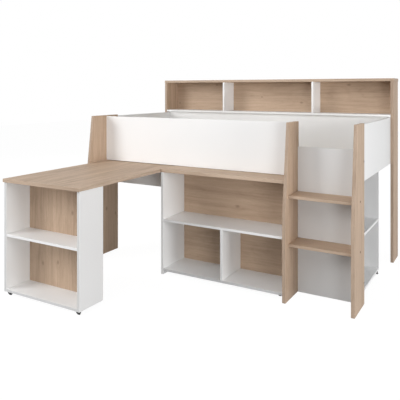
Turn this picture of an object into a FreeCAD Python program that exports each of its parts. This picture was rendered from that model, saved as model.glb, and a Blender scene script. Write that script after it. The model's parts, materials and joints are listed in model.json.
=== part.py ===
import FreeCAD, Part
import Sketcher
import os
import re

# Cabin bed with a ladder, a rear shelf, a bookcase, an end niche and a roll-out desk.
# Millimetres. X runs along the bed, Y from the front to the rear, Z up from the floor.

SIZES = {
    # mattress and bed box
    "mattress_length": 2000,
    "mattress_width": 900,
    "length_play": 7,
    "width_play": 6,
    "guard_setback": 42,
    "guard_bottom": 752,
    "guard_height": 350,
    # boards
    "oak_board": 22,
    "panel_board": 18,
    "shelf_board": 16,
    "thin_back": 5,
    # front uprights
    "upright_rise": 8,
    "head_depth": 171,
    "upright_lean": 72,
    "knee_height": 530,
    "left_extra_depth": 128,
    # ladder
    "ladder_width": 398,
    "ladder_panel_height": 945,
    "tread_depth": 175,
    "tread_board": 18,
    "lower_tread_top": 355,
    "upper_tread_top": 656,
    # rear shelf
    "rear_depth": 195,
    "rear_panel_recess": 22,
    "rear_panel_rise": 6,
    "rear_bay_height": 257,
    "rear_top_overhang": 3,
    "rear_side_bay": 603,
    # slatted base
    "rail_width": 24,
    "rail_height": 40,
    "rail_lift": 8,
    "slat_count": 14,
    "slat_width": 70,
    "slat_board": 18,
    "slat_margin": 35,
    "slat_play": 2,
    # lower bay of the bookcase, the niche and the desk
    "lower_bay_height": 336,
    # bookcase
    "case_width": 930,
    "case_projection": 183,
    "case_inner_depth": 283,
    "case_top_gap": 2,
    "case_divider_offset": 475,
    "shelf_setback": 2,
    "glide_height": 3,
    "glide_radius": 6,
    "foot_radius": 12,
    "foot_inset": 53,
    "foot_setback": 66,
    # end niche
    "niche_recess": 10,
    "niche_depth": 300,
    "niche_width": 579,
    "niche_foot_margin": 1,
    # desk
    "desk_length": 1205,
    "desk_tail": 23.5,
    "desk_headroom": 4,
    "desk_left_play": 3,
    "desk_right_play": 5,
    "desk_side_overhang": 4,
    "desk_front_overhang": 10,
    "desk_case_depth": 208,
    "apron_height": 172,
    "apron_gap": 0.3,
    "stop_gap": 0.5,
    "batten_width": 22,
    "batten_height": 20,
    "batten_inset": 60,
    # casters
    "caster_edge_inset": 20,
    "front_caster_inset": 28,
    "rear_caster_inset": 60,
    "plate_side": 32,
    "plate_board": 1.5,
    "race_radius": 12,
    "race_height": 0.7,
    "turn_gap": 0.2,
    "crown_board": 1.8,
    "king_radius": 2.2,
    "king_head_lip": 0.9,
    "king_head_height": 1,
    "bearing_gap": 0.05,
    "caster_trail": 8,
    "wheel_radius": 10.5,
    "wheel_width": 15,
    "wheel_side_gap": 0.4,
    "wheel_top_gap": 0.6,
    "fork_board": 2.2,
    "fork_eye_wall": 3.5,
    "axle_radius": 1.5,
    "axle_head_lip": 1.1,
    "axle_head_height": 0.8,
    # fasteners
    "screw_radius": 3.2,
    "screw_bite": 28,
    "screw_cover": 4,
    "screw_head_lip": 1.8,
    "screw_head_height": 3,
    "screw_hole_gap": 0.1,
    "cap_cover": 1.4,
    "cap_height": 1,
    "panel_screw_low_inset": 132,
    "panel_screw_high_inset": 69,
    "guard_screw_inset": 70,
    "apron_screw_inset": 40,
}

# Named places and sums, each worked out from the sizes above.
PLACES = {
    "inner_right": "(mattress_length + length_play) / 2",
    "inner_left": "-inner_right",
    "ladder_right": "inner_right",
    "ladder_left": "inner_right - ladder_width",
    "case_right": "ladder_left - oak_board",
    "case_left": "case_right - case_width",
    "guard_front": "-guard_setback",
    "guard_back": "guard_front + panel_board",
    "guard_top": "guard_bottom + guard_height",
    "foot_depth": "head_depth + upright_lean",
    "upright_height": "guard_top + upright_rise",
    "upright_front": "guard_back - foot_depth",
    "left_back": "guard_back + left_extra_depth",
    "rear_panel_front": "guard_back + mattress_width + width_play",
    "rear_panel_back": "rear_panel_front + panel_board",
    "rear_front": "rear_panel_front - rear_panel_recess",
    "rear_back": "rear_front + rear_depth",
    "rear_back_front": "rear_back - thin_back",
    "rear_lap_middle": "rear_panel_front - rear_panel_recess / 2",
    "rear_inner": "inner_right + panel_board",
    "rear_outer": "rear_inner + oak_board",
    "rear_floor_bottom": "guard_top + rear_panel_rise",
    "rear_floor_top": "rear_floor_bottom + shelf_board",
    "rear_top_bottom": "rear_floor_top + rear_bay_height",
    "rail_bottom": "guard_bottom + rail_lift",
    "rail_top": "rail_bottom + rail_height",
    "slat_pitch": "(2 * inner_right - 2 * slat_margin - slat_width) / (slat_count - 1)",
    "king_bottom": "2 * wheel_radius + wheel_top_gap",
    "crown_bottom": "king_bottom + king_head_height + turn_gap",
    "crown_top": "crown_bottom + crown_board",
    "race_bottom": "crown_top + turn_gap",
    "plate_bottom": "race_bottom + race_height",
    "floor_board_lift": "plate_bottom + plate_board",
    "floor_board_top": "floor_board_lift + shelf_board",
    "mid_shelf_bottom": "floor_board_top + lower_bay_height",
    "mid_shelf_top": "mid_shelf_bottom + shelf_board",
    "tread_front": "guard_front - tread_depth",
    "tread_middle": "guard_front - tread_depth / 2",
    "panel_middle": "guard_front + panel_board / 2",
    "case_front": "guard_front - case_projection",
    "case_back_front": "case_front + case_inner_depth",
    "case_back_rear": "case_back_front + shelf_board",
    "case_top_top": "guard_bottom - case_top_gap",
    "case_top_bottom": "case_top_top - oak_board",
    "case_inner_left": "case_left + panel_board",
    "case_divider_left": "case_left + case_divider_offset",
    "niche_front": "inner_right - niche_recess",
    "niche_back_front": "niche_front - niche_depth",
    "niche_back_rear": "niche_back_front - shelf_board",
    "niche_far": "guard_back + niche_width",
    "niche_outer": "niche_far + shelf_board",
    "niche_top_bottom": "case_top_top - shelf_board",
    "niche_foot_inset": "foot_radius + niche_foot_margin",
    "desk_left": "inner_left + desk_left_play",
    "desk_right": "case_left - desk_right_play",
    "desk_surface": "guard_bottom - desk_headroom",
    "desk_under": "desk_surface - oak_board",
    "apron_front": "left_back - panel_board",
    "apron_middle": "left_back - panel_board / 2",
    "apron_top": "desk_under - apron_gap",
    "apron_bottom": "apron_top - apron_height",
    "batten_front": "left_back + stop_gap",
    "batten_back": "batten_front + batten_width",
    "desk_far": "batten_back + desk_tail",
    "desk_front": "desk_far - desk_length",
    "desk_case_left": "desk_left + desk_side_overhang",
    "desk_case_right": "desk_right - desk_side_overhang",
    "desk_case_front": "desk_front + desk_front_overhang",
    "desk_case_rear": "desk_case_front + desk_case_depth",
    "desk_back_front": "desk_case_rear - shelf_board",
    "king_head_radius": "king_radius + king_head_lip",
    "fork_inner": "wheel_width / 2 + wheel_side_gap",
    "fork_outer": "fork_inner + fork_board",
    "fork_eye_radius": "axle_radius + fork_eye_wall",
    "axle_head_radius": "axle_radius + axle_head_lip",
    "screw_length": "oak_board + screw_bite",
    "short_screw_length": "panel_board + oak_board - screw_cover",
    "screw_head_radius": "screw_radius + screw_head_lip",
    "cap_radius": "screw_head_radius + screw_hole_gap + cap_cover",
}

# Casters under the desk's carcass, in the order in which they are numbered. The rear pair is set in
# further from the sides.
CASTER_PLACES = {
    1: ("desk_case_left + front_caster_inset", "desk_case_front + caster_edge_inset"),
    2: ("desk_case_right - front_caster_inset", "desk_case_front + caster_edge_inset"),
    3: ("desk_case_left + rear_caster_inset", "desk_case_rear - caster_edge_inset"),
    4: ("desk_case_right - rear_caster_inset", "desk_case_rear - caster_edge_inset"),
}

doc = FreeCAD.newDocument("CabinBed")
sheet = doc.addObject("Spreadsheet::Sheet", "dims")
nodes = {}
holes = {}
word_pattern = re.compile(r"[a-z][a-z_]*")


def fill_sheet():
    for row, (name, value) in enumerate(SIZES.items(), start=1):
        sheet.set(f"A{row}", name)
        sheet.set(f"B{row}", str(value))
        sheet.setAlias(f"B{row}", name)
    doc.recompute()


def expression(text):
    # Spell a place out until it holds nothing but cells of the sheet.
    def spell(match):
        word = match.group()
        if word in PLACES:
            return "(" + expression(PLACES[word]) + ")"
        return "dims." + word
    return word_pattern.sub(spell, text)


def number(text):
    return float(sheet.evalExpression(expression(text)))


def put(thing, x, y, z):
    for axis, place in zip("xyz", (x, y, z)):
        thing.setExpression("Placement.Base." + axis, expression(place))


def keep(thing, label):
    thing.Label = label
    nodes[label] = thing
    return thing


def block(name, x, y, z):
    # A board or bar between a low and a high place on each axis.
    box = doc.addObject("Part::Box", name)
    for side, (low, high) in zip(("Length", "Width", "Height"), (x, y, z)):
        box.setExpression(side, expression(f"({high}) - ({low})"))
    put(box, x[0], y[0], z[0])
    return box


def board(label, x, y, z):
    return keep(block(label, x, y, z), label)


def rod(name, radius, start, length, way="z"):
    # A cylinder that starts at a point and runs along one axis, "-x" being backwards along X.
    cylinder = doc.addObject("Part::Cylinder", name)
    cylinder.setExpression("Radius", expression(radius))
    cylinder.setExpression("Height", expression(length))
    turns = {"z": ((0, 0, 1), 0), "x": ((0, 1, 0), 90), "-x": ((0, 1, 0), -90)}
    axis, angle = turns[way]
    turn = FreeCAD.Rotation(FreeCAD.Vector(*axis), angle)
    cylinder.Placement = FreeCAD.Placement(FreeCAD.Vector(), turn)
    put(cylinder, *start)
    return cylinder


def fuse(name, things):
    joined = doc.addObject("Part::MultiFuse", name)
    joined.Shapes = things
    joined.Refine = True
    return joined


def group(name, things):
    compound = doc.addObject("Part::Compound", name)
    compound.Links = things
    return compound


def cut(name, base, tools):
    result = doc.addObject("Part::Cut", name)
    result.Base = base
    result.Tool = tools[0] if len(tools) == 1 else group(name + "_tools", tools)
    return result


def drill_nodes():
    # Replace each node that screws go into by the same piece with holes in it.
    for label, tools in holes.items():
        blank = nodes[label]
        blank.Label = label + "_blank"
        keep(cut(label + "_drilled", blank, tools), label)


def upright(label, x_low, depth):
    # A tapered board: straight up to the knee, then leaning back to its head.
    body = doc.addObject("PartDesign::Body", label)
    plane = [feature for feature in body.Origin.OriginFeatures if feature.Role == "YZ_Plane"][0]
    sketch = body.newObject("Sketcher::SketchObject", label + "_outline")
    sketch.AttachmentSupport = [(plane, "")]
    sketch.MapMode = "FlatFace"
    corners = [("0", "0"), ("0", "knee_height"), ("upright_lean", "upright_height"),
               (depth, "upright_height"), (depth, "0")]
    points = [FreeCAD.Vector(number(y), number(z), 0) for y, z in corners]
    for start, end in zip(points, points[1:] + points[:1]):
        sketch.addGeometry(Part.LineSegment(start, end))
    for line in range(len(points)):
        following = (line + 1) % len(points)
        sketch.addConstraint(Sketcher.Constraint("Coincident", line, 2, following, 1))
    sketch.addConstraint(Sketcher.Constraint("Coincident", 0, 1, -1, 1))
    for line, way in ((0, "Vertical"), (2, "Horizontal"), (3, "Vertical"), (4, "Horizontal")):
        sketch.addConstraint(Sketcher.Constraint(way, line))
    sizes = [("DistanceY", (0, 1, 0, 2), "knee_height"), ("DistanceX", (1, 1, 1, 2), "upright_lean"),
             ("DistanceY", (3, 2, 3, 1), "upright_height"), ("DistanceX", (4, 2, 4, 1), depth)]
    for way, ends, size in sizes:
        index = sketch.addConstraint(Sketcher.Constraint(way, *ends, number(size)))
        sketch.setExpression(f"Constraints[{index}]", expression(size))
    pad = body.newObject("PartDesign::Pad", label + "_pad")
    pad.Profile = sketch
    pad.setExpression("Length", expression("oak_board"))
    put(body, x_low, "upright_front", "0")
    return keep(body, label)


def screw(name, start, way, length, pieces):
    # A countersunk joint screw, flush with the face it starts from, and its hole in each piece.
    def turned(part_name, gap):
        head = rod(part_name + "_head", "screw_head_radius" + gap, start, "screw_head_height", way)
        shank = rod(part_name + "_shank", "screw_radius" + gap, start, length + gap, way)
        return fuse(part_name, [head, shank])
    hole = turned(name + "_hole", " + screw_hole_gap")
    for label in pieces:
        holes.setdefault(label, []).append(hole)
    return turned(name, "")


def build_uprights():
    upright("upright_left", "inner_left - oak_board", "foot_depth + left_extra_depth")
    upright("ladder_upright_left", "case_right", "foot_depth")
    upright("ladder_upright_right", "inner_right", "foot_depth")


def build_ladder():
    across = ("ladder_left", "ladder_right")
    for label, top in (("tread_lower", "lower_tread_top"), ("tread_upper", "upper_tread_top")):
        board(label, across, ("tread_front", "guard_front"), (top + " - tread_board", top))
    board("ladder_panel", across, ("guard_front", "guard_back"), ("0", "ladder_panel_height"))


def build_bed_box():
    height = ("guard_bottom", "guard_top")
    board("guard_panel", ("inner_left", "case_right"), ("guard_front", "guard_back"), height)
    board("end_panel_left", ("-rear_inner", "inner_left"), ("left_back", "rear_panel_back"), height)
    board("end_panel_right", ("inner_right", "rear_inner"), ("guard_back", "rear_panel_back"), height)
    board("rear_panel", ("inner_left", "inner_right"), ("rear_panel_front", "rear_panel_back"),
          ("guard_bottom", "rear_floor_bottom"))


def build_slatted_base():
    along = ("inner_left", "inner_right")
    height = ("rail_bottom", "rail_top")
    board("slat_rail_front", along, ("guard_back", "guard_back + rail_width"), height)
    board("slat_rail_rear", along, ("rear_panel_front - rail_width", "rear_panel_front"), height)
    slats = []
    for index in range(round(number("slat_count"))):
        low = f"inner_left + slat_margin + {index} * slat_pitch"
        slats.append(block(f"slat_bar_{index + 1}", (low, low + " + slat_width"),
                           ("guard_back + slat_play", "rear_panel_front - slat_play"),
                           ("rail_top", "rail_top + slat_board")))
    keep(group("slats", slats), "slats")


def build_rear_shelf():
    depth = ("rear_front", "rear_back")
    inner_depth = ("rear_front", "rear_back_front")
    height = ("0", "rear_top_bottom")
    board("rear_upright_left", ("-rear_outer", "-rear_inner"), depth, height)
    board("rear_upright_right", ("rear_inner", "rear_outer"), depth, height)
    board("rear_shelf_top", ("-rear_outer - rear_top_overhang", "rear_outer + rear_top_overhang"),
          depth, ("rear_top_bottom", "rear_top_bottom + oak_board"))
    inside = ("-rear_inner", "rear_inner")
    board("rear_shelf_floor", inside, inner_depth, ("rear_floor_bottom", "rear_floor_top"))
    board("rear_shelf_back", inside, ("rear_back_front", "rear_back"),
          ("rear_floor_bottom", "rear_top_bottom"))
    face = "(rear_inner - rear_side_bay)"
    between = ("rear_floor_top", "rear_top_bottom")
    board("rear_divider_left", ("-" + face, "-" + face + " + shelf_board"), inner_depth, between)
    board("rear_divider_right", (face + " - shelf_board", face), inner_depth, between)


def build_bookcase():
    inside = ("case_inner_left", "case_right")
    depth = ("case_front + shelf_setback", "case_back_front")
    full_depth = ("case_front", "left_back")
    board("case_side_left", ("case_left", "case_inner_left"), full_depth,
          ("glide_height", "case_top_bottom"))
    # The ladder upright closes the right end in front, and this narrow board behind it.
    board("case_side_right", ("case_right", "case_right + shelf_board"), ("guard_back", "case_back_rear"),
          ("floor_board_lift", "case_top_top"))
    board("case_top", ("case_left", "case_right"), full_depth, ("case_top_bottom", "case_top_top"))
    board("case_floor", inside, depth, ("floor_board_lift", "floor_board_top"))
    board("case_shelf", inside, depth, ("mid_shelf_bottom", "mid_shelf_top"))
    board("case_divider", ("case_divider_left", "case_divider_left + shelf_board"), depth,
          ("floor_board_top", "mid_shelf_bottom"))
    board("case_back", inside, ("case_back_front", "case_back_rear"),
          ("floor_board_lift", "case_top_bottom"))
    feet = []
    glides = []
    for row, y in (("front", "case_front + foot_setback"), ("rear", "case_back_rear - foot_setback")):
        feet.append(rod("case_foot_" + row, "foot_radius",
                        ("case_right - foot_inset", y, "0"), "floor_board_lift"))
        glides.append(rod("case_glide_" + row, "glide_radius",
                          ("case_left + panel_board / 2", y, "0"), "glide_height"))
    keep(group("case_feet", feet), "case_feet")
    keep(group("case_glides", glides), "case_glides")


def build_niche():
    depth = ("niche_back_front", "niche_front")
    width = ("guard_back", "niche_far")
    height = ("floor_board_lift", "case_top_top")
    board("niche_floor", depth, width, ("floor_board_lift", "floor_board_top"))
    board("niche_shelf", depth, width, ("mid_shelf_bottom", "mid_shelf_top"))
    board("niche_top", depth, width, ("niche_top_bottom", "case_top_top"))
    board("niche_back", ("niche_back_rear", "niche_back_front"), width, height)
    board("niche_side", ("niche_back_rear", "niche_front"), ("niche_far", "niche_outer"), height)
    foot_y = "niche_outer - niche_foot_inset"
    feet = []
    for row, x in (("front", "niche_front - niche_foot_inset"),
                   ("rear", "niche_back_front + niche_foot_inset")):
        feet.append(rod("niche_foot_" + row, "foot_radius", (x, foot_y, "0"), "floor_board_lift"))
    keep(group("niche_feet", feet), "niche_feet")


def build_desk():
    inside = ("desk_case_left + panel_board", "desk_case_right - panel_board")
    depth = ("desk_case_front", "desk_case_rear")
    shelf_depth = ("desk_case_front + shelf_setback", "desk_back_front")
    height = ("floor_board_lift", "desk_under")
    board("desk_top", ("desk_left", "desk_right"), ("desk_front", "desk_far"),
          ("desk_under", "desk_surface"))
    board("desk_side_left", ("desk_case_left", "desk_case_left + panel_board"), depth, height)
    board("desk_side_right", ("desk_case_right - panel_board", "desk_case_right"), depth, height)
    board("desk_floor", inside, shelf_depth, ("floor_board_lift", "floor_board_top"))
    board("desk_shelf", inside, shelf_depth, ("mid_shelf_bottom", "mid_shelf_top"))
    board("desk_back", inside, ("desk_back_front", "desk_case_rear"), height)
    board("desk_batten", ("desk_left + batten_inset", "desk_right - batten_inset"),
          ("batten_front", "batten_back"), ("desk_under - batten_height", "desk_under"))
    board("desk_apron", ("inner_left", "case_left"), ("apron_front", "left_back"),
          ("apron_bottom", "apron_top"))


def caster_plate(index, x, y):
    # The fixed half: square plate, ball race and the king pin that the fork turns on.
    name = f"caster_plate_{index}"
    plate = block(name + "_square", (x + " - plate_side / 2", x + " + plate_side / 2"),
                  (y + " - plate_side / 2", y + " + plate_side / 2"),
                  ("plate_bottom", "floor_board_lift"))
    race = rod(name + "_race", "race_radius", (x, y, "race_bottom"), "race_height")
    king = rod(name + "_king", "king_radius", (x, y, "king_bottom"), "plate_bottom - king_bottom")
    head = rod(name + "_head", "king_head_radius", (x, y, "king_bottom"), "king_head_height")
    return fuse(name, [plate, race, king, head])


def caster_fork(index, x, y):
    # The turning half: a crown with two cheeks that hold the axle behind the king pin.
    label = f"caster_fork_{index}"
    hub = y + " + caster_trail"
    crown_start = (x, y, "crown_bottom")
    pieces = [rod(label + "_crown", "race_radius", crown_start, "crown_board")]
    for side, low, high in (("a", "-fork_outer", "-fork_inner"), ("b", "fork_inner", "fork_outer")):
        pieces.append(block(label + "_cheek_" + side, (f"{x} + {low}", f"{x} + {high}"),
                            (y + " - fork_eye_radius", hub + " + fork_eye_radius"),
                            ("wheel_radius", "crown_top")))
        pieces.append(rod(label + "_eye_" + side, "fork_eye_radius",
                          (f"{x} + {low}", hub, "wheel_radius"), "fork_board", "x"))
    king_hole = rod(label + "_king_hole", "king_radius + bearing_gap", crown_start, "crown_board")
    axle_hole = rod(label + "_axle_hole", "axle_radius + bearing_gap",
                    (x + " - fork_outer", hub, "wheel_radius"), "2 * fork_outer", "x")
    keep(cut(label, fuse(label + "_body", pieces), [king_hole, axle_hole]), label)


def caster_axle(index, x, y):
    label = f"caster_axle_{index}"
    hub = y + " + caster_trail"
    left_end = (x + " - fork_outer", hub, "wheel_radius")
    right_end = (x + " + fork_outer", hub, "wheel_radius")
    pin = rod(label + "_pin", "axle_radius", left_end, "2 * fork_outer", "x")
    left = rod(label + "_left", "axle_head_radius", left_end, "axle_head_height", "-x")
    right = rod(label + "_right", "axle_head_radius", right_end, "axle_head_height", "x")
    keep(fuse(label, [pin, left, right]), label)


def caster_wheel(index, x, y):
    label = f"caster_wheel_{index}"
    start = (x + " - wheel_width / 2", y + " + caster_trail", "wheel_radius")
    tyre = rod(label + "_tyre", "wheel_radius", start, "wheel_width", "x")
    bore = rod(label + "_bore", "axle_radius + bearing_gap", start, "wheel_width", "x")
    keep(cut(label, tyre, [bore]), label)


def build_casters():
    plates = []
    for index, (x, y) in CASTER_PLACES.items():
        plates.append(caster_plate(index, x, y))
        caster_fork(index, x, y)
        caster_axle(index, x, y)
        caster_wheel(index, x, y)
    keep(group("caster_plates", plates), "caster_plates")


def build_fasteners():
    right_face = "inner_right + oak_board"
    left_face = "inner_left - oak_board"
    guard_rows = (("low", "guard_bottom + guard_screw_inset"), ("high", "guard_top - guard_screw_inset"))
    ladder = {"lower": ("tread_middle", "lower_tread_top - tread_board / 2", "tread_lower"),
              "upper": ("tread_middle", "upper_tread_top - tread_board / 2", "tread_upper"),
              "panel_low": ("panel_middle", "panel_screw_low_inset", "ladder_panel"),
              "panel_high": ("panel_middle", "ladder_panel_height - panel_screw_high_inset",
                             "ladder_panel")}
    left = {"apron_low": ("apron_middle", "apron_bottom + apron_screw_inset", "desk_apron"),
            "apron_high": ("apron_middle", "apron_top - apron_screw_inset", "desk_apron")}
    for row, z in guard_rows:
        left["guard_" + row] = ("panel_middle", z, "guard_panel")
    screws = []
    caps = []
    for name, (y, z, piece) in ladder.items():
        screws.append(screw("screw_right_" + name, (right_face, y, z), "-x", "screw_length",
                            ["ladder_upright_right", piece]))
        screws.append(screw("screw_left_" + name, ("case_right", y, z), "x", "screw_length",
                            ["ladder_upright_left", piece]))
        caps.append(rod("cap_right_" + name, "cap_radius", (right_face, y, z), "cap_height", "x"))
    for name, (y, z, piece) in left.items():
        screws.append(screw("screw_end_" + name, (left_face, y, z), "x", "screw_length",
                            ["upright_left", piece]))
        caps.append(rod("cap_end_" + name, "cap_radius", (left_face, y, z), "cap_height", "-x"))
    keep(group("joint_screws", screws), "joint_screws")
    keep(group("screw_caps", caps), "screw_caps")
    short = []
    for row, z in guard_rows:
        for side, face, way in (("left", "inner_left", "-x"), ("right", "inner_right", "x")):
            short.append(screw(f"screw_rear_{side}_{row}", (face, "rear_lap_middle", z), way,
                               "short_screw_length", ["end_panel_" + side, "rear_upright_" + side]))
    keep(group("short_screws", short), "short_screws")


def check_and_write():
    doc.recompute()
    failed = [thing.Label for thing in doc.Objects if {"Invalid", "Error"} & set(thing.State)]
    for label, thing in nodes.items():
        if thing.Shape.isNull() or not thing.Shape.isValid():
            failed.append(label)
    if failed:
        raise RuntimeError("failed: " + ", ".join(failed))
    os.makedirs("parts", exist_ok=True)
    for label, thing in nodes.items():
        thing.Shape.exportStep(f"parts/{label}.step")
    print(len(nodes), "nodes,", sum(len(thing.Shape.Solids) for thing in nodes.values()), "solids")


fill_sheet()
build_uprights()
build_ladder()
build_bed_box()
build_slatted_base()
build_rear_shelf()
build_bookcase()
build_niche()
build_desk()
build_casters()
build_fasteners()
drill_nodes()
check_and_write()
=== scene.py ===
import json
import math
import bmesh
import bpy
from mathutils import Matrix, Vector


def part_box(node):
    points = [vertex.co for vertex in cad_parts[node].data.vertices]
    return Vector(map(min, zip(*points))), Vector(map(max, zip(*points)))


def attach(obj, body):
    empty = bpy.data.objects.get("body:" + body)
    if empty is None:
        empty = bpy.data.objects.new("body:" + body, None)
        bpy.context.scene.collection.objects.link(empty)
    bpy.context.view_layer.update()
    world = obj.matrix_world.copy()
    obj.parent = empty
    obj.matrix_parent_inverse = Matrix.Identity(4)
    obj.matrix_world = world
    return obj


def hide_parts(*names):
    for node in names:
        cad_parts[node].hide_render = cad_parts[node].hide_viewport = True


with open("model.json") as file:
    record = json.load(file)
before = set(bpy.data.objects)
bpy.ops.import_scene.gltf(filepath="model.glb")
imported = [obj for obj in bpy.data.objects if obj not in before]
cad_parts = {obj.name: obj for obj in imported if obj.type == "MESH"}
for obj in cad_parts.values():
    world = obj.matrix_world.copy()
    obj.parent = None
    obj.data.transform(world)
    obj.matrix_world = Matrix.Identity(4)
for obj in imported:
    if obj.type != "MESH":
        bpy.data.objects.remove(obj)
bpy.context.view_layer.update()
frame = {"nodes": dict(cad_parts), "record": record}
scene = bpy.context.scene
nodes = frame["nodes"]
record = frame["record"]
bodyOf = {node: body for body, members in record["behaviour"]["bodies"].items() for node in members}
slotOf = {row["node"]: row["material_slot"] for row in record["subparts"]}


# camera, level like the photograph's, with the horizon above the middle of the picture
cameraSet = {"place": (1.7565, -3.295, 1.316), "turn": 30.128, "lens": 46.84, "sensor": 36.0,
             "shift": -0.2759}


def setCamera():
    data = bpy.data.cameras.new("studioCamera")
    data.lens = cameraSet["lens"]
    data.sensor_width = cameraSet["sensor"]
    data.shift_y = cameraSet["shift"]
    camera = bpy.data.objects.new("studioCamera", data)
    camera.location = cameraSet["place"]
    camera.rotation_euler = (math.radians(90), 0, math.radians(cameraSet["turn"]))
    scene.collection.objects.link(camera)
    scene.camera = camera
    scene.view_settings.view_transform = "Standard"


setCamera()
print("camera set")


class Wire:
    # a socket that can stand in a sum: each operation adds a Math node
    def __init__(self, graph, socket):
        self.graph = graph
        self.socket = socket

    def maths(self, operation, first, second):
        return self.graph.add("ShaderNodeMath", {"operation": operation}, {0: first, 1: second})[0]

    def __add__(self, other):
        return self.maths("ADD", self, other)

    def __sub__(self, other):
        return self.maths("SUBTRACT", self, other)

    def __rsub__(self, other):
        return self.maths("SUBTRACT", other, self)

    def __mul__(self, other):
        return self.maths("MULTIPLY", self, other)

    def __truediv__(self, other):
        return self.maths("DIVIDE", self, other)

    def __pow__(self, other):
        return self.maths("POWER", self, other)

    def __gt__(self, other):
        return self.maths("GREATER_THAN", self, other)

    __radd__ = __add__
    __rmul__ = __mul__


class Taps:
    # a node's outputs, by name or by number
    def __init__(self, graph, node):
        self.graph = graph
        self.node = node

    def __getitem__(self, key):
        return Wire(self.graph, self.node.outputs[key])


class Graph:
    # a node tree, with one method that adds any node
    def __init__(self, tree):
        self.tree = tree

    def add(self, kind, settings=None, values=None):
        node = self.tree.nodes.new(kind)
        for key, value in (settings or {}).items():
            if key == "stops":
                self.fillRamp(node.color_ramp, value)
            else:
                setattr(node, key, value)
        self.feed(node, values or {})
        return Taps(self, node)

    def feed(self, node, values):
        for key, value in values.items():
            if isinstance(value, Wire):
                self.tree.links.new(value.socket, node.inputs[key])
            else:
                node.inputs[key].default_value = value

    def fillRamp(self, ramp, stops):
        while len(ramp.elements) < len(stops):
            ramp.elements.new(0.5)
        for element, (place, colour) in zip(ramp.elements, stops):
            element.position = place
            element.color = colour


class Finish(Graph):
    # a material on Object coordinates
    def __init__(self, name):
        self.material = bpy.data.materials.new(name)
        self.material.use_nodes = True
        super().__init__(self.material.node_tree)
        self.shader = self.tree.nodes["Principled BSDF"]
        self.place = self.add("ShaderNodeTexCoord")["Object"]

    def vector(self, operation, first, second):
        return self.add("ShaderNodeVectorMath", {"operation": operation}, {0: first, 1: second})

    def scaled(self, vector, amount):
        return self.add("ShaderNodeVectorMath", {"operation": "SCALE"}, {0: vector, "Scale": amount})[0]

    def sine(self, value):
        return self.add("ShaderNodeMath", {"operation": "SINE"}, {0: value})[0]

    def noise(self, place, stretch, detail=2.0, roughness=0.5):
        stretched = self.vector("MULTIPLY", place, stretch)[0]
        return self.add("ShaderNodeTexNoise", None, {"Vector": stretched, "Scale": 1.0, "Detail": detail,
                                                     "Roughness": roughness})[0]

    def ramp(self, factor, stops):
        return self.add("ShaderNodeValToRGB", {"stops": stops}, {0: factor})[0]

    def between(self, value, low, high):
        return self.add("ShaderNodeMapRange", None, {0: value, 1: low, 2: high, 3: 0.0, 4: 1.0})[0]

    def mix(self, factor, first, second):
        return self.add("ShaderNodeMix", {"data_type": "RGBA"}, {0: factor, 6: first, 7: second})[2]

    def bump(self, height, strength, distance):
        return self.add("ShaderNodeBump", None, {"Height": height, "Strength": strength,
                                                 "Distance": distance})[0]

    def dress(self, **values):
        self.feed(self.shader, {key.replace("_", " "): value for key, value in values.items()})
        return self.material


# oak-look foil: straight fine grain, soft flames, short pores and a few knots
# scales in pairs run along and across the grain, and a Noise pair is detail and roughness
oakSet = {"dark": (0.372, 0.264, 0.185, 1), "middle": (0.516, 0.380, 0.275, 1),
          "light": (0.622, 0.470, 0.350, 1), "pore": (0.300, 0.204, 0.138, 1),
          "fibre": (9.0, 420.0), "fibreNoise": (3.0, 0.6), "fibreShare": 0.5, "fibreRough": 0.16,
          "band": (2.6, 62.0), "bandNoise": (2.0, 0.55), "bandShare": 1.15,
          "cloud": (1.1, 9.0), "cloudDetail": 1.0, "cloudShare": 0.7,
          "flame": (1.6, 11.0), "flameDetail": 0.5, "flameLines": 68.0, "flameFrom": 0.35, "flameShare": 0.10,
          "pores": (26.0, 1250.0), "poreDetail": 1.0, "poreRange": (0.60, 0.72), "poreDepth": 0.55,
          "poreDip": 0.8, "sway": (3.2, 9.0), "swayDetail": 1.0, "swayMiddle": 0.5, "swayReach": 0.016,
          "meanTone": 1.17, "gloss": 0.22, "roughness": 0.46, "bump": 0.00012, "bumpStrength": 0.35}
toneStops = {"dark": 0.0, "middle": 0.5, "light": 1.0}

# the knots, each with its centre and size, by the run of the grain
knotSet = {"colour": (0.185, 0.122, 0.082, 1), "length": 0.62, "rim": (1.25, 0.25), "depth": 0.55,
           "pull": 0.7, "pullReach": 0.12, "pullFade": -2.0}
oakKnots = {"x": [((-0.5789, 1.050, 1.360), 0.010), ((-0.1179, 1.050, 1.2496), 0.007),
                  ((0.2525, 1.050, 1.2036), 0.010), ((0.6608, 1.050, 1.3544), 0.011),
                  ((-0.9933, 1.050, 1.1841), 0.007), ((0.1214, 0.058, 0.4806), 0.012)],
            "y": [],
            "z": [((-0.5929, -0.853, 0.5359), 0.011), ((-0.8543, -0.853, 0.176), 0.010),
                  ((-0.7188, -0.853, 0.2019), 0.009), ((-1.0035, -0.0407, 0.3569), 0.012),
                  ((-1.0035, 0.0711, 0.2976), 0.010)]}

# by the run of the grain: how strongly it shows, and the tint of an edge band; edges running along x and y
# get a slightly cooler band tint, and edges running up and down (z) are painted darker, painted shade on the
# long edges of the uprights
oakContrast = {"x": 0.82, "y": 1.35, "z": 0.95}
edgeTintAndShade = {"x": (0.98, 1.01, 1.05), "y": (0.98, 1.01, 1.05), "z": (0.85, 0.87, 0.91)}
plainTint = (1.0, 1.0, 1.0)


def alongGrain(axis, pair):
    along, across = pair
    return tuple(along if letter == axis else across for letter in "xyz")


def tinted(colour, tint):
    return tuple(part * share for part, share in zip(colour, tint)) + (1,)


def shaded(colour, shade):
    return tinted(colour, (shade,) * 3)


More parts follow.
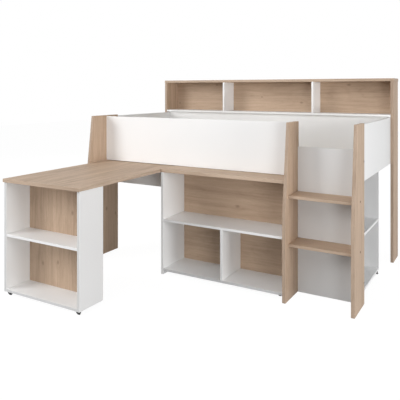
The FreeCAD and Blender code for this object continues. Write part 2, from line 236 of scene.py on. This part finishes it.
def oakFinish(name, axis, knots, tint):
    finish = Finish(name)
    across = alongGrain(axis, (0.0, 1.0))
    place = finish.place
    knotMask = 0.0
    for centre, size in knots:
        offset = finish.vector("SUBTRACT", finish.place, centre)[0]
        shrink = alongGrain(axis, (knotSet["length"] / size, 1 / size))
        near = finish.vector("MULTIPLY", offset, shrink)[0]
        reach = finish.vector("LENGTH", near, (0, 0, 0))["Value"]
        # the grain lines part round the knot
        pull = (reach * reach * knotSet["pullReach"] + 1.0) ** knotSet["pullFade"]
        push = finish.vector("MULTIPLY", offset, across)[0]
        place = finish.vector("ADD", place, finish.scaled(push, pull * -knotSet["pull"]))[0]
        knotMask = finish.between(reach, *knotSet["rim"]) + knotMask
    sway = finish.noise(finish.place, alongGrain(axis, oakSet["sway"]), oakSet["swayDetail"])
    bend = (sway - oakSet["swayMiddle"]) * oakSet["swayReach"]
    place = finish.vector("ADD", place, finish.scaled(across, bend))[0]
    fibre = finish.noise(place, alongGrain(axis, oakSet["fibre"]), *oakSet["fibreNoise"])
    band = finish.noise(place, alongGrain(axis, oakSet["band"]), *oakSet["bandNoise"])
    cloud = finish.noise(place, alongGrain(axis, oakSet["cloud"]), oakSet["cloudDetail"])
    contour = finish.noise(place, alongGrain(axis, oakSet["flame"]), oakSet["flameDetail"])
    flame = finish.between(finish.sine(contour * oakSet["flameLines"]), oakSet["flameFrom"], 1.0)
    speckle = finish.noise(place, alongGrain(axis, oakSet["pores"]), oakSet["poreDetail"])
    pore = finish.between(speckle, *oakSet["poreRange"])
    grain = (band * oakSet["bandShare"] + fibre * oakSet["fibreShare"] + cloud * oakSet["cloudShare"]
             - flame * oakSet["flameShare"] - oakSet["meanTone"])
    tone = grain * oakContrast[axis] + toneStops["middle"]
    colour = finish.ramp(tone, [(stop, tinted(oakSet[shade], tint)) for shade, stop in toneStops.items()])
    colour = finish.mix(pore * oakSet["poreDepth"], colour, tinted(oakSet["pore"], tint))
    if knots:
        colour = finish.mix(knotMask * knotSet["depth"], colour, knotSet["colour"])
    height = fibre - pore * oakSet["poreDip"]
    return finish.dress(Base_Color=colour, Roughness=fibre * oakSet["fibreRough"] + oakSet["roughness"],
                        Specular_IOR_Level=oakSet["gloss"],
                        Normal=finish.bump(height, oakSet["bumpStrength"], oakSet["bump"]))


# white melamine-faced board with a fine pearl
whiteSet = {"colour": (0.880, 0.880, 0.878, 1), "cool": (0.860, 0.862, 0.864, 1), "cloud": 2.2,
            "pearl": 850.0, "pearlDetail": 1.0, "pearlRough": 0.10, "roughness": 0.40,
            "bump": 0.00008, "bumpStrength": 0.25, "greyShade": 0.81, "bandShade": 0.76}
# the ladder panel and the niche's top, back and side are painted a darker grey: painted shade for these
# recessed boards
paintedShadeBoards = ("ladder_panel", "niche_top", "niche_back", "niche_side")
paintedShadeBandBoards = ("desk_side_left", "desk_side_right", "desk_floor", "case_floor")   # their edges painted greyer than their faces: painted shade, as these low edges take less light


def whiteFinish(name, shade):
    finish = Finish(name)
    cloud = finish.noise(finish.place, (whiteSet["cloud"],) * 3)
    pearl = finish.noise(finish.place, (whiteSet["pearl"],) * 3, whiteSet["pearlDetail"])
    colour = finish.mix(cloud, shaded(whiteSet["colour"], shade), shaded(whiteSet["cool"], shade))
    return finish.dress(Base_Color=colour, Roughness=pearl * whiteSet["pearlRough"] + whiteSet["roughness"],
                        Normal=finish.bump(pearl, whiteSet["bumpStrength"], whiteSet["bump"]))


# planed pine of the slatted base and of the desk's batten
pineSet = {"dark": (0.600, 0.460, 0.300, 1), "light": (0.780, 0.660, 0.490, 1),
           "darkStop": 0.15, "lightStop": 0.85, "lift": 0.1,
           "fibre": (6.0, 300.0), "fibreNoise": (3.0, 0.6), "fibreShare": 0.6, "fibreRough": 0.15,
           "ring": (0.7, 40.0), "ringDetail": 1.0, "ringLines": 44.0, "ringShare": 0.16,
           "slatShare": 0.24, "roughness": 0.55, "bump": 0.0002, "bumpStrength": 0.3}


def pineFinish(name, axis):
    finish = Finish(name)
    fibre = finish.noise(finish.place, alongGrain(axis, pineSet["fibre"]), *pineSet["fibreNoise"])
    ring = finish.noise(finish.place, alongGrain(axis, pineSet["ring"]), pineSet["ringDetail"])
    wave = finish.sine(ring * pineSet["ringLines"])
    slat = finish.add("ShaderNodeAttribute", {"attribute_name": "slatTone"})["Fac"]
    tone = (fibre * pineSet["fibreShare"] + wave * pineSet["ringShare"] + slat * pineSet["slatShare"]
            + pineSet["lift"])
    colour = finish.ramp(tone, [(pineSet["darkStop"], pineSet["dark"]),
                                (pineSet["lightStop"], pineSet["light"])])
    return finish.dress(Base_Color=colour, Roughness=fibre * pineSet["fibreRough"] + pineSet["roughness"],
                        Normal=finish.bump(fibre, pineSet["bumpStrength"], pineSet["bump"]))


# small parts of moulded plastic, plated steel and rubber: colour, roughness, metal share and gloss
smallSet = {"blackPlastic": ((0.018, 0.018, 0.019, 1), 0.42, 0.0, 0.5),
            "oakCap": ((0.100, 0.066, 0.046, 1), 0.60, 0.0, 0.10),
            "whitePlastic": ((0.800, 0.800, 0.795, 1), 0.38, 0.0, 0.5),
            "casterTyre": ((0.016, 0.016, 0.017, 1), 0.50, 0.0, 0.5),
            "platedSteel": ((0.720, 0.720, 0.730, 1), 0.17, 1.0, 0.5),
            "zincScrew": ((0.620, 0.620, 0.600, 1), 0.30, 1.0, 0.5)}
smallSurface = {"grain": 700.0, "cloud": 90.0, "cloudShade": 0.78, "cloudRough": 0.12,
                "bump": 0.00006, "bumpStrength": 0.12}


def smallFinish(name):
    colour, rough, metal, gloss = smallSet[name]
    finish = Finish(name)
    grain = finish.noise(finish.place, (smallSurface["grain"],) * 3)
    cloud = finish.noise(finish.place, (smallSurface["cloud"],) * 3)
    clouded = finish.mix(cloud, colour, shaded(colour, smallSurface["cloudShade"]))
    return finish.dress(Base_Color=clouded, Roughness=cloud * smallSurface["cloudRough"] + rough,
                        Metallic=metal, Specular_IOR_Level=gloss,
                        Normal=finish.bump(grain, smallSurface["bumpStrength"], smallSurface["bump"]))


oakFaces = {axis: oakFinish("oakGrain" + axis.upper(), axis, oakKnots[axis], plainTint) for axis in "xyz"}
# edge bands; those running up and down are painted darker, painted shade
oakEdges = {axis: oakFinish("oakEdge" + axis.upper(), axis, [], edgeTintAndShade[axis]) for axis in "xyz"}
white = whiteFinish("whiteMelamine", 1.0)
# a darker copy of the white: painted shade for the recessed boards
paintedShadeWhite = whiteFinish("pearlGreyMelamine", whiteSet["greyShade"])
# a darker copy of the white for some board edges: painted shade
paintedShadeBand = whiteFinish("whiteEdgeBand", whiteSet["bandShade"])
pineAlongX = pineFinish("pineAlongX", "x")
pineAlongY = pineFinish("pineAlongY", "y")
small = {name: smallFinish(name) for name in smallSet}
print("finishes made")


mergeDistance = 1e-6                        # vertices nearer than this become one


def addPiece(name, mesh, body, slot, *stands):
    piece = bpy.data.objects.new(name, mesh)
    scene.collection.objects.link(piece)
    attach(piece, body)
    if stands:
        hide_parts(*stands)
    return piece


def camel(node):
    first, *rest = node.split("_")
    return first + "".join(word.capitalize() for word in rest)


def meshOf(name, shape, *materials):
    mesh = bpy.data.meshes.new(name)
    shape.to_mesh(mesh)
    shape.free()
    for material in materials:
        mesh.materials.append(material)
    return mesh


def mergedCopy(node):
    shape = bmesh.new()
    shape.from_mesh(nodes[node].data)
    bmesh.ops.remove_doubles(shape, verts=shape.verts, dist=mergeDistance)
    return shape


def loosePieces(node):
    # low and high corner of each separate solid of a node
    shape = mergedCopy(node)
    left = set(shape.verts)
    boxes = []
    while left:
        grown = [left.pop()]
        for vert in grown:
            near = {edge.other_vert(vert) for edge in vert.link_edges} & left
            left -= near
            grown.extend(near)
        low = Vector(min(vert.co[axis] for vert in grown) for axis in range(3))
        high = Vector(max(vert.co[axis] for vert in grown) for axis in range(3))
        boxes.append((low, high))
    shape.free()
    return sorted(boxes, key=lambda box: tuple(box[0]))


# boards: the CAD boards with their edges rounded, lengths in metres and angles in degrees
boardSet = {"oakEdge": 0.0015, "whiteEdge": 0.0010, "pineEdge": 0.0020, "steps": 3, "roundness": 0.5,
            "sharp": 40, "flat": 1, "shortest": 0.004}
oakGrain = {"upright_left": "z", "ladder_upright_left": "z", "ladder_upright_right": "z",
            "tread_lower": "x", "tread_upper": "x", "rear_upright_left": "z", "rear_upright_right": "z",
            "rear_shelf_top": "x", "rear_shelf_back": "x", "case_top": "x", "case_back": "x",
            "desk_top": "y", "desk_back": "z"}
pineBoards = ("slat_rail_front", "slat_rail_rear", "desk_batten")


def roundedCopy(node, radius):
    shape = mergedCopy(node)
    bmesh.ops.dissolve_limit(shape, angle_limit=math.radians(boardSet["flat"]), verts=shape.verts,
                             edges=shape.edges)
    sharp = [edge for edge in shape.edges if edge.is_manifold and edge.calc_length() > boardSet["shortest"]
             and edge.calc_face_angle() > math.radians(boardSet["sharp"])]
    rounded = bmesh.ops.bevel(shape, geom=sharp, offset=radius, segments=boardSet["steps"],
                              profile=boardSet["roundness"], affect="EDGES", clamp_overlap=False)
    for face in shape.faces:
        face.smooth = False
    for face in rounded["faces"]:
        face.smooth = True
    return shape


def thinAxis(node):
    low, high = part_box(node)
    sizes = high - low
    return min(range(3), key=lambda axis: sizes[axis])


def facingAxis(face):
    return max(range(3), key=lambda axis: abs(face.normal[axis]))


def oakBoard(node):
    # a face takes its own grain, and an edge band the way that it runs
    shape = roundedCopy(node, boardSet["oakEdge"])
    thin = thinAxis(node)
    used = []
    for face in shape.faces:
        facing = facingAxis(face)
        if facing == thin:
            finish = oakFaces[oakGrain[node]]
        else:
            finish = oakEdges["xyz"[3 - thin - facing]]
        if finish not in used:
            used.append(finish)
        face.material_index = used.index(finish)
    return meshOf(camel(node), shape, *used)


def whiteBoard(node):
    shape = roundedCopy(node, boardSet["whiteEdge"])
    # recessed boards take the darker copy of the white, painted shade
    finish = paintedShadeWhite if node in paintedShadeBoards else white
    if node not in paintedShadeBandBoards:
        return meshOf(camel(node), shape, finish)
    # the edges of these boards take the greyer copy of the white, painted shade
    thin = thinAxis(node)
    for face in shape.faces:
        face.material_index = int(facingAxis(face) != thin)
    return meshOf(camel(node), shape, finish, paintedShadeBand)


def makeBoards():
    made = 0
    for node, slot in slotOf.items():
        if slot == "oak":
            mesh = oakBoard(node)
        elif slot == "white_board":
            mesh = whiteBoard(node)
        elif node in pineBoards:
            mesh = meshOf(camel(node), roundedCopy(node, boardSet["pineEdge"]), pineAlongX)
        else:
            continue
        addPiece(camel(node), mesh, bodyOf[node], slot, node)
        made += 1
    print("boards:", made)


makeBoards()


class Tree(Graph):
    # a Geometry Nodes tree with named inputs, grown on a few points into a plain mesh
    def __init__(self, name, inputs):
        super().__init__(bpy.data.node_groups.new(name, "GeometryNodeTree"))
        interface = self.tree.interface
        interface.new_socket("Geometry", in_out="OUTPUT", socket_type="NodeSocketGeometry")
        interface.new_socket("Points", in_out="INPUT", socket_type="NodeSocketGeometry")
        self.keys = {}
        for label, kind in inputs.items():
            self.keys[label] = interface.new_socket(label, in_out="INPUT", socket_type=kind).identifier
        self.entry = self.add("NodeGroupInput")

    def close(self, instances, material):
        real = self.add("GeometryNodeRealizeInstances", None, {0: instances})[0]
        painted = self.add("GeometryNodeSetMaterial", None, {"Geometry": real, "Material": material})[0]
        self.add("NodeGroupOutput", None, {0: painted})

    def grow(self, name, points, values, facings=None):
        seed = bpy.data.meshes.new(name + "Points")
        seed.from_pydata(points, [], [])
        if facings:
            layer = seed.attributes.new("facing", "FLOAT_VECTOR", "POINT")
            for item, facing in zip(layer.data, facings):
                item.vector = facing
        holder = bpy.data.objects.new(name + "Points", seed)
        scene.collection.objects.link(holder)
        modifier = holder.modifiers.new(name, "NODES")
        modifier.node_group = self.tree
        for label, value in values.items():
            modifier[self.keys[label]] = value
        ready = holder.evaluated_get(bpy.context.evaluated_depsgraph_get())
        mesh = bpy.data.meshes.new_from_object(ready)
        mesh.name = name
        holder.modifiers.clear()
        bpy.data.objects.remove(holder)
        return mesh


# slats with rounded long edges, one tone each; a face larger than flatArea is shaded flat
slatSet = {"round": 0.0035, "roundSteps": 3, "seed": 7, "flatArea": 0.003}


def slatTree():
    lengths = ("Width", "Thickness", "Length", "Round")
    tree = Tree("slatBars", {**{label: "NodeSocketFloat" for label in lengths}, "Seed": "NodeSocketInt"})
    sizes = tree.entry
    outline = tree.add("GeometryNodeCurvePrimitiveQuadrilateral", {"mode": "RECTANGLE"},
                       {"Width": sizes["Width"], "Height": sizes["Thickness"]})[0]
    outline = tree.add("GeometryNodeFilletCurve", {"mode": "POLY"},
                       {"Curve": outline, "Count": slatSet["roundSteps"], "Radius": sizes["Round"]})[0]
    half = sizes["Length"] * 0.5
    start = tree.add("ShaderNodeCombineXYZ", None, {"Y": half * -1.0})[0]
    end = tree.add("ShaderNodeCombineXYZ", None, {"Y": half})[0]
    line = tree.add("GeometryNodeCurvePrimitiveLine", None, {"Start": start, "End": end})[0]
    line = tree.add("GeometryNodeSetCurveNormal", {"mode": "Z_UP"}, {"Curve": line})[0]
    bar = tree.add("GeometryNodeCurveToMesh", None,
                   {"Curve": line, "Profile Curve": outline, "Fill Caps": True})[0]
    wide = tree.add("GeometryNodeInputMeshFaceArea")[0] > slatSet["flatArea"]
    bar = tree.add("GeometryNodeSetShadeSmooth", None, {0: bar, 1: wide, 2: False})[0]
    row = tree.add("GeometryNodeInstanceOnPoints", None, {"Points": sizes["Points"], "Instance": bar})[0]
    tone = tree.add("FunctionNodeRandomValue", {"data_type": "FLOAT"}, {"Seed": sizes["Seed"]})[1]
    row = tree.add("GeometryNodeStoreNamedAttribute", {"data_type": "FLOAT", "domain": "INSTANCE"},
                   {"Geometry": row, "Name": "slatTone", "Value": tone})[0]
    tree.close(row, pineAlongY)
    return tree


def makeSlats():
    boxes = loosePieces("slats")
    low, high = boxes[0]
    sizes = high - low
    values = {"Width": sizes.x, "Thickness": sizes.z, "Length": sizes.y, "Round": slatSet["round"],
              "Seed": slatSet["seed"]}
    mesh = slatTree().grow("slatRow", [(a + b) / 2 for a, b in boxes], values)
    addPiece("slatRow", mesh, bodyOf["slats"], "pine", "slats")
    print("slats:", len(boxes))


makeSlats()


# round heads on flat faces: the caps over the joint screws, and the screws of the caster plates
headSet = {"sides": 24, "rings": 4}
capSet = {"height": 0.0005, "dome": 0.0005}
plateScrewSet = {"radius": 0.0022, "height": 0.0003, "dome": 0.0004,
                 "spread": 0.0130, "plate": 0.0015}   # from the plate's middle, and the plate's thickness


def headTree(name, material):
    tree = Tree(name, {label: "NodeSocketFloat" for label in ("Radius", "Height", "Dome")})
    sizes = tree.entry
    disc = tree.add("GeometryNodeMeshCylinder", {"fill_type": "TRIANGLE_FAN"},
                    {"Vertices": headSet["sides"], "Fill Segments": headSet["rings"],
                     "Radius": sizes["Radius"], "Depth": sizes["Height"]})["Mesh"]
    part = tree.add("ShaderNodeSeparateXYZ", None, {0: tree.add("GeometryNodeInputPosition")[0]})
    x, y, z = part[0], part[1], part[2]
    upper = z > 0.0
    swell = 1.0 - (x * x + y * y) / (sizes["Radius"] * sizes["Radius"])
    lifted = z + sizes["Height"] * 0.5 + upper * swell * sizes["Dome"]
    place = tree.add("ShaderNodeCombineXYZ", None, {0: x, 1: y, 2: lifted})[0]
    head = tree.add("GeometryNodeSetPosition", None, {"Geometry": disc, "Position": place})[0]
    facing = tree.add("GeometryNodeInputNamedAttribute", {"data_type": "FLOAT_VECTOR"}, {"Name": "facing"})[0]
    turn = tree.add("FunctionNodeAlignRotationToVector", {"axis": "Z"}, {"Vector": facing})[0]
    heads = tree.add("GeometryNodeInstanceOnPoints", None,
                     {"Points": sizes["Points"], "Instance": head, "Rotation": turn})[0]
    tree.close(heads, material)
    return tree


def makeCaps():
    points, facings = [], []
    for low, high in loosePieces("screw_caps"):
        way = 1 if low.x > 0 else -1
        face = low.x if way > 0 else high.x
        points.append(Vector((face, (low.y + high.y) / 2, (low.z + high.z) / 2)))
        facings.append((way, 0, 0))
    radius = (high.z - low.z) / 2           # the caps are alike, so the last one gives it
    values = {"Radius": radius, "Height": capSet["height"], "Dome": capSet["dome"]}
    mesh = headTree("capHeads", small["oakCap"]).grow("screwCaps", points, values, facings)
    addPiece("screwCaps", mesh, bodyOf["screw_caps"], "oak_cap", "screw_caps")
    print("caps:", len(points))


def makePlateScrews():
    points = []
    for low, high in loosePieces("caster_plates"):
        middle = (low + high) / 2
        under = high.z - plateScrewSet["plate"]
        for alongX in (-1, 1):
            for alongY in (-1, 1):
                x = middle.x + alongX * plateScrewSet["spread"]
                y = middle.y + alongY * plateScrewSet["spread"]
                points.append((x, y, under))
    facings = [(0, 0, -1)] * len(points)
    values = {"Radius": plateScrewSet["radius"], "Height": plateScrewSet["height"],
              "Dome": plateScrewSet["dome"]}
    mesh = headTree("plateHeads", small["zincScrew"]).grow("plateScrews", points, values, facings)
    addPiece("plateScrews", mesh, bodyOf["caster_plates"], "screw_steel")
    print("plate screws:", len(points))


makeCaps()
makePlateScrews()


# turned pieces: a profile gives shares of the radius and of the length, and hub is a share of the radius
turnedSet = {"steps": 40, "hub": 0.70,
             "foot": [(0, 0), (0.87, 0), (0.97, 0.03), (1, 0.085), (1, 0.17), (0.80, 0.24), (0.72, 0.35),
                      (0.72, 0.80), (0.78, 0.90), (0.975, 0.925), (1, 0.94), (1, 1), (0, 1)],
             "glide": [(0, 0), (0.74, 0), (0.91, 0.14), (1, 0.40), (1, 0.80), (0.91, 1), (0, 1)],
             "wheel": [(0.148, 0.01), (0.34, 0.01), (0.38, 0.12), (0.68, 0.14), (0.72, 0.03), (0.85, 0),
                       (0.94, 0.05), (0.985, 0.13), (1, 0.22), (1, 0.47), (0.975, 0.49), (0.975, 0.51),
                       (1, 0.53), (1, 0.78), (0.985, 0.87), (0.94, 0.95), (0.85, 1), (0.72, 0.97),
                       (0.68, 0.86), (0.38, 0.88), (0.34, 0.99), (0.148, 0.99)]}
turnedFeet = {"case_feet": ("foot", "blackPlastic"), "niche_feet": ("foot", "blackPlastic"),
              "case_glides": ("glide", "whitePlastic")}
casterNumbers = range(1, 5)


def turnProfile(shape, profile, base, axis, side, closed):
    # spin one profile round an axis through base; axis is as long as the piece and side as its radius
    points = [base + axis * along + side * out for out, along in profile]
    verts = [shape.verts.new(point) for point in points]
    following = verts[1:] + verts[:1] if closed else verts[1:]
    edges = [shape.edges.new(pair) for pair in zip(verts, following)]
    bmesh.ops.spin(shape, geom=verts + edges, cent=base, axis=axis, angle=math.tau, steps=turnedSet["steps"])


def closeTurned(shape):
    bmesh.ops.remove_doubles(shape, verts=shape.verts, dist=mergeDistance)
    bmesh.ops.recalc_face_normals(shape, faces=shape.faces)
    for face in shape.faces:
        face.smooth = True
    for edge in shape.edges:
        edge.smooth = edge.calc_face_angle(0) < math.radians(boardSet["sharp"])


def makeFeet():
    for node, (profile, finish) in turnedFeet.items():
        shape = bmesh.new()
        for low, high in loosePieces(node):
            sizes = high - low
            base = Vector(((low.x + high.x) / 2, (low.y + high.y) / 2, low.z))
            rise = Vector((0, 0, sizes.z))
            side = Vector((sizes.x / 2, 0, 0))
            turnProfile(shape, turnedSet[profile], base, rise, side, False)
        closeTurned(shape)
        addPiece(camel(node), meshOf(camel(node), shape, small[finish]), bodyOf[node], slotOf[node], node)
    print("feet and glides turned")


def makeWheels():
    for number in casterNumbers:
        node = f"caster_wheel_{number}"
        low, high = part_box(node)
        sizes = high - low
        hub = (low + high) / 2
        base = Vector((low.x, hub.y, hub.z))
        radius = sizes.z / 2
        shape = bmesh.new()
        turnProfile(shape, turnedSet["wheel"], base, Vector((sizes.x, 0, 0)), Vector((0, 0, radius)), True)
        closeTurned(shape)
        for face in shape.faces:
            middle = face.calc_center_median() - hub
            face.material_index = int(math.hypot(middle.y, middle.z) < radius * turnedSet["hub"])
        mesh = meshOf(camel(node), shape, small["casterTyre"], small["blackPlastic"])
        addPiece(camel(node), mesh, bodyOf[node], "caster_tyre", node)
    print("wheels turned")


makeFeet()
makeWheels()


# what stays as the CAD made it, with a better finish
keptNodes = {"joint_screws": "zincScrew", "short_screws": "zincScrew", "caster_plates": "platedSteel"}
for number in casterNumbers:
    keptNodes[f"caster_fork_{number}"] = "blackPlastic"
    keptNodes[f"caster_axle_{number}"] = "zincScrew"


def finishKept():
    for node, finish in keptNodes.items():
        nodes[node].data.materials.clear()
        nodes[node].data.materials.append(small[finish])
    print("kept from the CAD:", len(keptNodes))


finishKept()


# stage: a floor that is white to the camera and keeps a faint shadow, and soft lamps
stageSet = {"half": 14.0, "grey": (0.25, 0.25, 0.25, 1), "white": (1, 1, 1, 1), "shadow": 0.08,
            "glow": 1.045, "sky": 0.32, "lampAim": (0, 0, 0.6)}
lamps = {"keyLamp": {"place": (-4.5, -4.8, 3.0), "size": 3.0, "power": 228.0},
         "fillLamp": {"place": (4.2, -4.6, 1.0), "size": 1.8, "power": 94.0},
         "sideLamp": {"place": (6.0, -1.5, 1.1), "size": 1.8, "power": 138.0},
         "highLamp": {"place": (0.3, -3.6, 4.6), "size": 3.0, "power": 66.0},
         "rearLamp": {"place": (-2.6, 5.6, 2.6), "size": 3.0, "power": 120.0}}


def seenDirectly(graph):
    rays = graph.add("ShaderNodeLightPath")
    return rays["Is Camera Ray"] + rays["Is Glossy Ray"] + rays["Is Transmission Ray"]


def makeFloor():
    half = stageSet["half"]
    corners = [(-half, -half, 0), (half, -half, 0), (half, half, 0), (-half, half, 0)]
    mesh = bpy.data.meshes.new("studioFloor")
    mesh.from_pydata(corners, [], [(0, 1, 2, 3)])
    floor = bpy.data.objects.new("studioFloor", mesh)
    scene.collection.objects.link(floor)
    material = bpy.data.materials.new("studioFloor")
    material.use_nodes = True
    graph = Graph(material.node_tree)
    plain = graph.add("ShaderNodeBsdfDiffuse", None, {"Color": stageSet["grey"]})[0]
    bright = graph.add("ShaderNodeEmission", None,
                       {"Color": stageSet["white"], "Strength": stageSet["glow"]})[0]
    dull = graph.add("ShaderNodeBsdfDiffuse", None, {"Color": stageSet["white"]})[0]
    shown = graph.add("ShaderNodeMixShader", None, {0: stageSet["shadow"], 1: bright, 2: dull})[0]
    both = graph.add("ShaderNodeMixShader", None, {0: seenDirectly(graph), 1: plain, 2: shown})[0]
    graph.feed(material.node_tree.nodes["Material Output"], {"Surface": both})
    mesh.materials.append(material)


def makeSky():
    world = bpy.data.worlds.new("studioSky")
    world.use_nodes = True
    scene.world = world
    graph = Graph(world.node_tree)
    direct = graph.add("ShaderNodeMath", {"operation": "MINIMUM"}, {0: seenDirectly(graph), 1: 1.0})[0]
    strength = direct * (1.0 - stageSet["sky"]) + stageSet["sky"]
    graph.feed(world.node_tree.nodes["Background"], {"Color": stageSet["white"], "Strength": strength})


def makeLamps():
    for name, lamp in lamps.items():
        data = bpy.data.lights.new(name, "AREA")
        data.shape = "SQUARE"
        data.size = lamp["size"]
        data.energy = lamp["power"]
        light = bpy.data.objects.new(name, data)
        light.location = lamp["place"]
        way = Vector(stageSet["lampAim"]) - Vector(lamp["place"])
        light.rotation_euler = way.to_track_quat("-Z", "Y").to_euler()
        light.visible_camera = False
        scene.collection.objects.link(light)


makeFloor()
makeSky()
makeLamps()
print("stage and lamps set")
